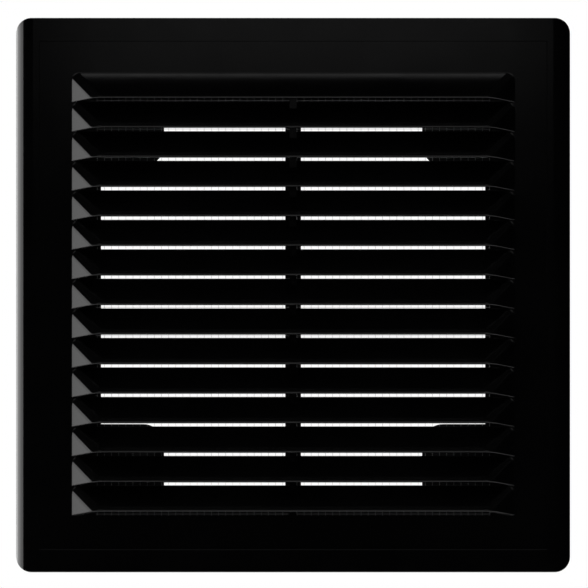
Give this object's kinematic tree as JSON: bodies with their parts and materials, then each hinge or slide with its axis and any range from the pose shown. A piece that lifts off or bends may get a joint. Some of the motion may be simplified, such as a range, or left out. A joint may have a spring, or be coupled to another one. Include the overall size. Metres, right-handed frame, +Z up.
{
  "type": "louvred air grille",
  "caption": "Square wall ventilation grille: screw-on frame with a clip-on panel of hooded fixed louvres and an insect net behind them, gloss black plastic.",
  "frame": {"origin": "centre of the wall plane, which is the centre of the screw holes", "axes": "+Y towards the wall and into the duct, the louvres face -Y; +Z up, the louvres open downwards; X across the face"},
  "size_m": [0.1502, 0.0153, 0.1502],
  "materials": {
    "black_abs": "gloss black moulded ABS",
    "net_thread": "light grey plastic-coated thread"
  },
  "bodies": {
    "frame": {"mounting_frame": "black_abs"},
    "louvre_panel": {"panel_border": "black_abs", "centre_rib": "black_abs", "snap_hooks": "black_abs", "insect_net": "net_thread", "net_studs": "black_abs", "louvre_01": "black_abs", "louvre_02": "black_abs", "louvre_03": "black_abs", "louvre_04": "black_abs", "louvre_05": "black_abs", "louvre_06": "black_abs", "louvre_07": "black_abs", "louvre_08": "black_abs", "louvre_09": "black_abs", "louvre_10": "black_abs", "louvre_11": "black_abs", "louvre_12": "black_abs", "louvre_13": "black_abs", "louvre_14": "black_abs", "louvre_15": "black_abs"}
  },
  "joints": [
    {"name": "panel_pull", "type": "slide", "parent": "frame", "child": "louvre_panel", "axis": [0, -1, 0], "range_m": [0, 0.04], "deforming": ["snap_hooks"]}
  ]
}
